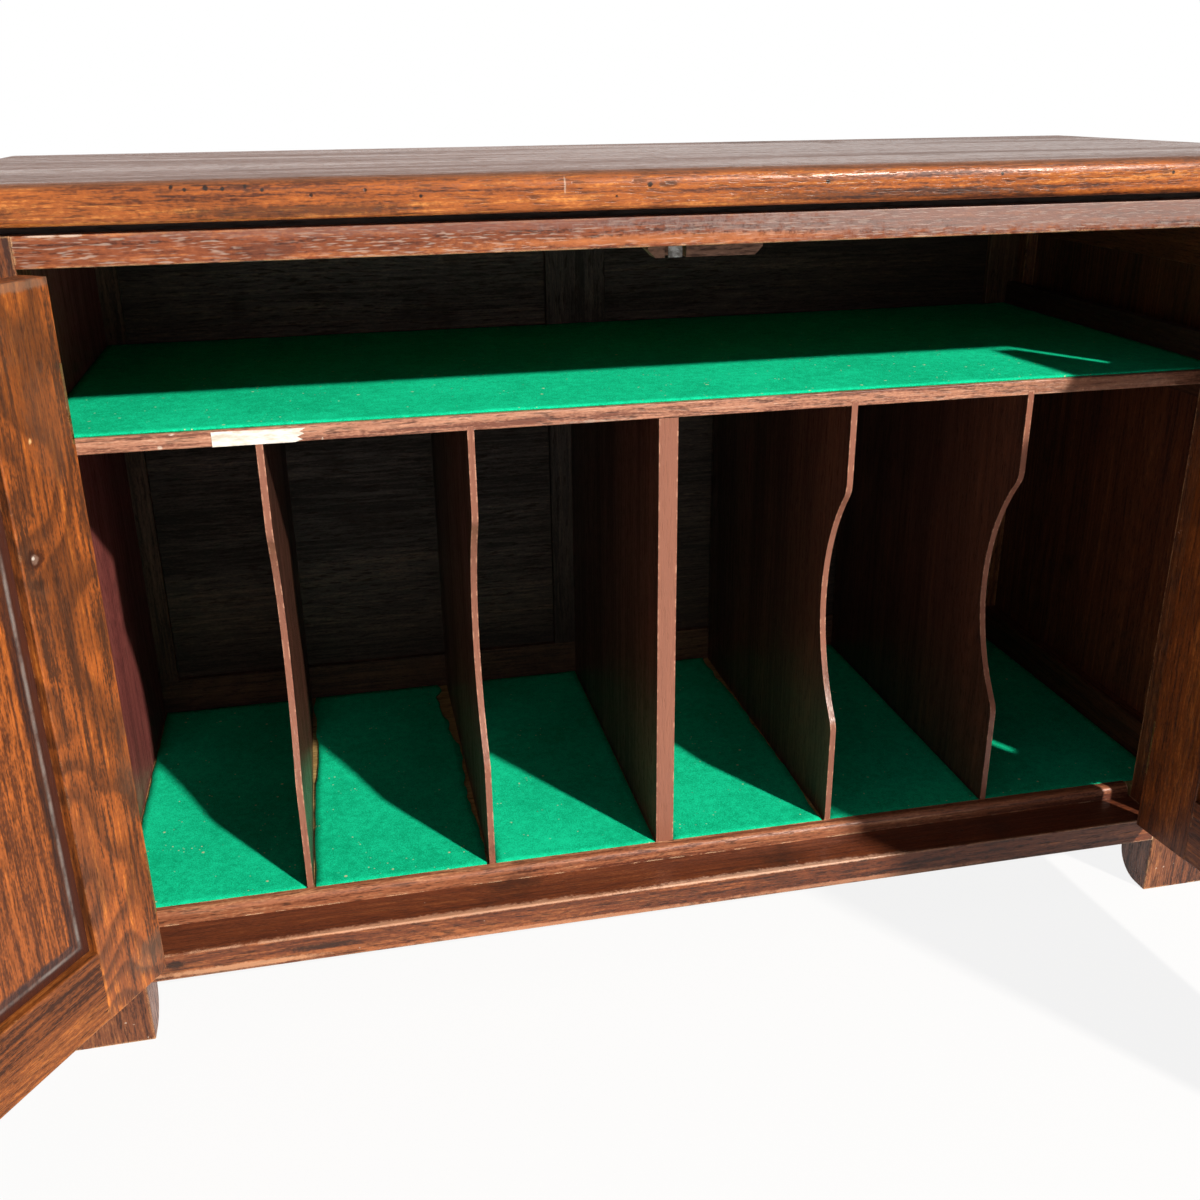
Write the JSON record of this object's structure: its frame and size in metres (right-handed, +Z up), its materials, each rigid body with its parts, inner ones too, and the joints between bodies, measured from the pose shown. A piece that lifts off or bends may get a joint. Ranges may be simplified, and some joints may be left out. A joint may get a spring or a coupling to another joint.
{
  "type": "storage cupboard",
  "caption": "Low oak record cupboard with a baize-lined shelf over upright bays and two hinged panelled doors.",
  "frame": {"origin": "on the floor, below the middle of the carcass in width and depth", "axes": "+Z up, the front with the doors faces -Y, +X is to the right when looking at the front"},
  "size_m": [1.0912, 0.7832, 0.5775],
  "materials": {
    "polished_oak": "dark polished oak",
    "carcass_oak": "worn waxed oak",
    "back_oak": "dull dark oak",
    "inner_board": "stained board, satin",
    "green_baize": "green felt baize",
    "pale_block_wood": "bare pale wood",
    "steel_keep": "dull steel",
    "hinge_brass": "aged brass",
    "bolt_brass": "aged brass",
    "tape": "old white tape",
    "door_oak": "figured oak, satin"
  },
  "bodies": {
    "carcass": {"back_bottom_rail": "back_oak", "back_left_panel": "back_oak", "back_left_stile": "back_oak", "back_muntin": "back_oak", "back_right_panel": "back_oak", "back_right_stile": "back_oak", "back_top_rail": "back_oak", "bolt_keep": "steel_keep", "bottom_bearers": "inner_board", "bottom_board": "inner_board", "centre_partition": "inner_board", "divider_1": "inner_board", "divider_2": "inner_board", "divider_3": "inner_board", "divider_4": "inner_board", "floor_baize": "green_baize", "floor_bead": "carcass_oak", "front_bottom_rail": "carcass_oak", "front_top_rail": "carcass_oak", "hinge_pins": "hinge_brass", "hinge_post_leaves": "hinge_brass", "hinge_post_screws": "hinge_brass", "left_back_post": "carcass_oak", "left_front_post": "carcass_oak", "left_lining": "inner_board", "left_side_bottom_rail": "carcass_oak", "left_side_panel": "carcass_oak", "left_side_top_rail": "carcass_oak", "right_back_post": "carcass_oak", "right_front_post": "carcass_oak", "right_side_bottom_rail": "carcass_oak", "right_side_panel": "carcass_oak", "right_side_top_rail": "carcass_oak", "shelf_baize": "green_baize", "shelf_battens": "inner_board", "shelf_board": "inner_board", "shelf_tape": "tape", "stop_block": "pale_block_wood", "top_board": "polished_oak", "top_fillet": "polished_oak"},
    "left_door": {"left_door_bolt_case": "bolt_brass", "left_door_bolt_screws": "bolt_brass", "left_door_bottom_rail": "door_oak", "left_door_hinge_leaves": "hinge_brass", "left_door_hinge_screws": "hinge_brass", "left_door_hinge_stile": "door_oak", "left_door_knob": "door_oak", "left_door_meeting_stile": "door_oak", "left_door_panel": "door_oak", "left_door_top_rail": "door_oak"},
    "left_bolt": {"left_door_bolt": "bolt_brass"},
    "right_door": {"right_door_bottom_rail": "door_oak", "right_door_hinge_leaves": "hinge_brass", "right_door_hinge_screws": "hinge_brass", "right_door_hinge_stile": "door_oak", "right_door_meeting_stile": "door_oak", "right_door_panel": "door_oak", "right_door_top_rail": "door_oak"},
    "right_latch": {"right_door_knob": "door_oak", "right_door_latch_arm": "bolt_brass"}
  },
  "joints": [
    {"name": "left_door_hinge", "type": "hinge", "parent": "carcass", "child": "left_door", "pos_m": [-0.3924, -0.1962, 0.3], "axis": [0, 0, -1], "range_deg": [-124, 46]},
    {"name": "right_door_hinge", "type": "hinge", "parent": "carcass", "child": "right_door", "pos_m": [0.3924, -0.1962, 0.3], "axis": [0, 0, 1], "range_deg": [-95, 75]},
    {"name": "left_bolt_slide", "type": "slide", "parent": "left_door", "child": "left_bolt", "axis": [0, 0, 1], "range_m": [0, 0.008]},
    {"name": "right_knob_turn", "type": "hinge", "parent": "right_door", "child": "right_latch", "pos_m": [0.42125, -0.56273, 0.30954], "axis": [-0.9962, -0.0872, 0], "range_deg": [0, 90]}
  ]
}
